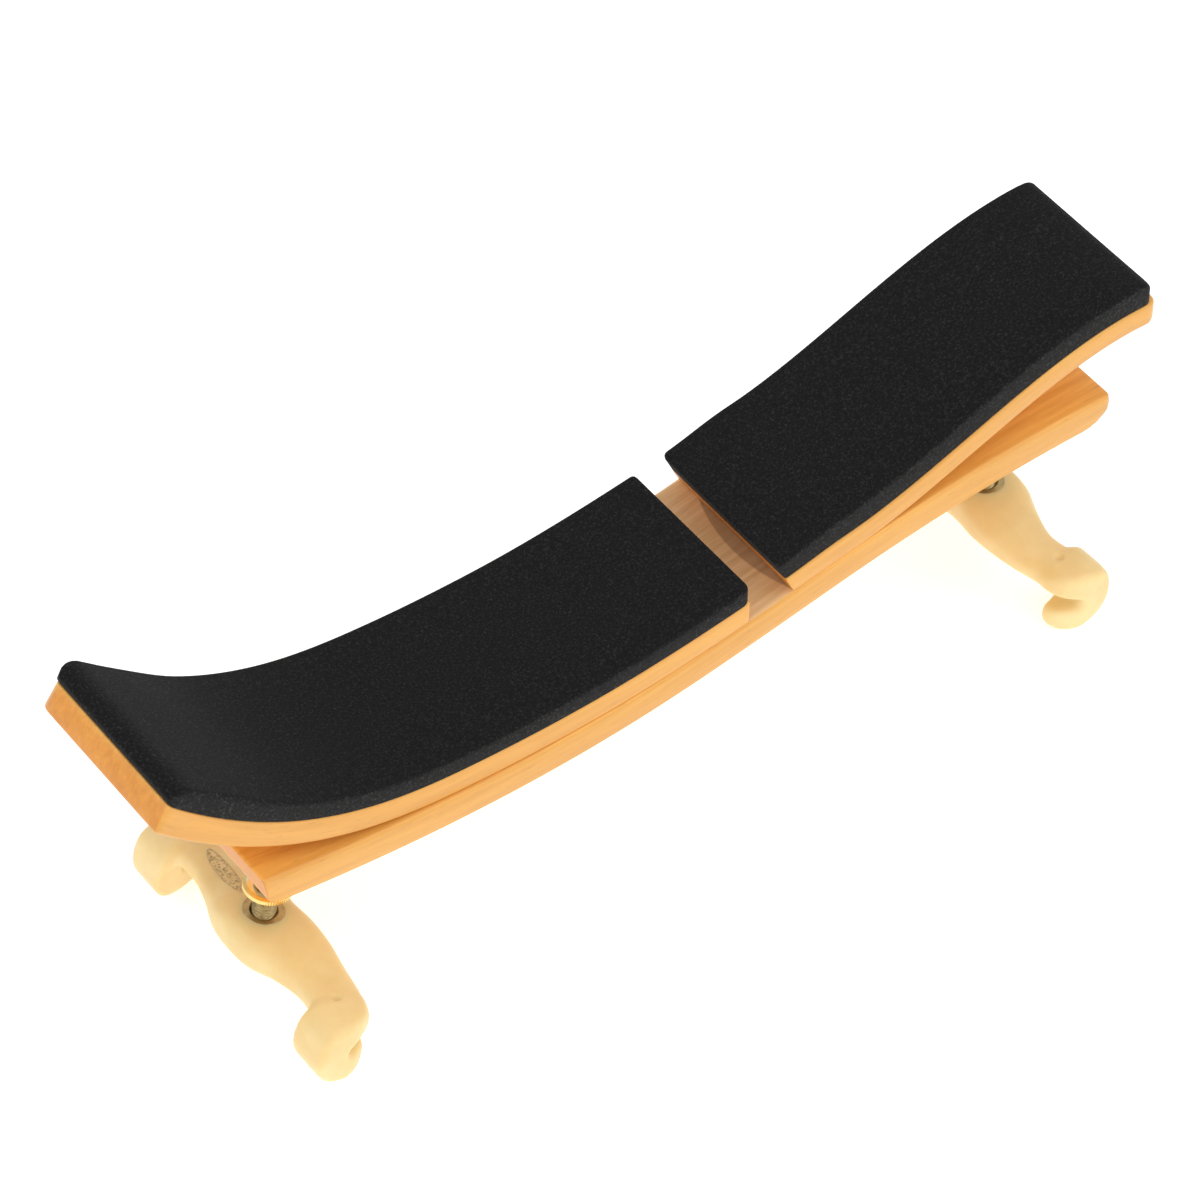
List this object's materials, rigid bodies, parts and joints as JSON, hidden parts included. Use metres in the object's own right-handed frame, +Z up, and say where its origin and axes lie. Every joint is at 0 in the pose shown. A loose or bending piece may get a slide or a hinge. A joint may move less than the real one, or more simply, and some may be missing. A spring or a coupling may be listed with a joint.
{
  "type": "violin shoulder rest",
  "caption": "Curved wooden bar with two bent boards, each with a foam pad, on two rubber forks whose open claws grip a violin; each fork swivels and screws up or down on a threaded stem.",
  "frame": {"origin": "on the plane the claws stand on, under the middle of the rest", "axes": "+X along the rest, from the upswept end of the long board towards the short board; +Y across it; +Z up, away from the violin"},
  "size_m": [0.2452, 0.0668, 0.0956],
  "materials": {
    "bar_wood": "varnished maple, satin",
    "board_wood": "varnished maple, satin",
    "foam": "fine closed-cell foam, matte",
    "rubber": "soft translucent cream rubber, satin",
    "brass": "machined",
    "steel": "zinc plated",
    "nylon": "natural"
  },
  "bodies": {
    "rest": {"base_bar": "bar_wood", "left_board": "board_wood", "right_board": "board_wood", "left_pad": "foam", "right_pad": "foam", "left_board_screws": "steel", "right_board_screws": "steel", "left_inserts": "brass", "right_inserts": "brass"},
    "left_thrust": {"left_thrust_disc": "nylon"},
    "left_spindle": {"left_stem": "brass", "left_thumb_wheel": "brass"},
    "left_fork": {"left_fork_grip": "rubber", "left_fork_core": "steel", "left_bush_cup": "brass", "left_cap_bush": "brass"},
    "right_thrust": {"right_thrust_disc": "nylon"},
    "right_spindle": {"right_stem": "brass", "right_thumb_wheel": "brass"},
    "right_fork": {"right_fork_grip": "rubber", "right_fork_core": "steel", "right_bush_cup": "brass", "right_cap_bush": "brass"}
  },
  "joints": [
    {"name": "left_height", "type": "slide", "parent": "rest", "child": "left_thrust", "axis": [0.2077, 0, 0.9782], "range_m": [-0.004, 0.0022]},
    {"name": "left_stem_spin", "type": "hinge", "parent": "left_thrust", "child": "left_spindle", "pos_m": [-0.09097, 0, 0.01825], "axis": [0.2077, 0, 0.9782], "continuous": true},
    {"name": "left_swivel", "type": "hinge", "parent": "left_thrust", "child": "left_fork", "pos_m": [-0.09097, 0, 0.01825], "axis": [0.2077, 0, 0.9782], "continuous": true},
    {"name": "right_height", "type": "slide", "parent": "rest", "child": "right_thrust", "axis": [0.0481, 0, 0.9988], "range_m": [-0.004, 0.01]},
    {"name": "right_stem_spin", "type": "hinge", "parent": "right_thrust", "child": "right_spindle", "pos_m": [0.09567, 0, 0.01828], "axis": [0.0481, 0, 0.9988], "continuous": true},
    {"name": "right_swivel", "type": "hinge", "parent": "right_thrust", "child": "right_fork", "pos_m": [0.09567, 0, 0.01828], "axis": [0.0481, 0, 0.9988], "continuous": true}
  ],
  "couplings": [
    {"joint": "left_stem_spin", "follows": "left_height", "rad_per_m": 7854},
    {"joint": "right_stem_spin", "follows": "right_height", "rad_per_m": 7854}
  ]
}
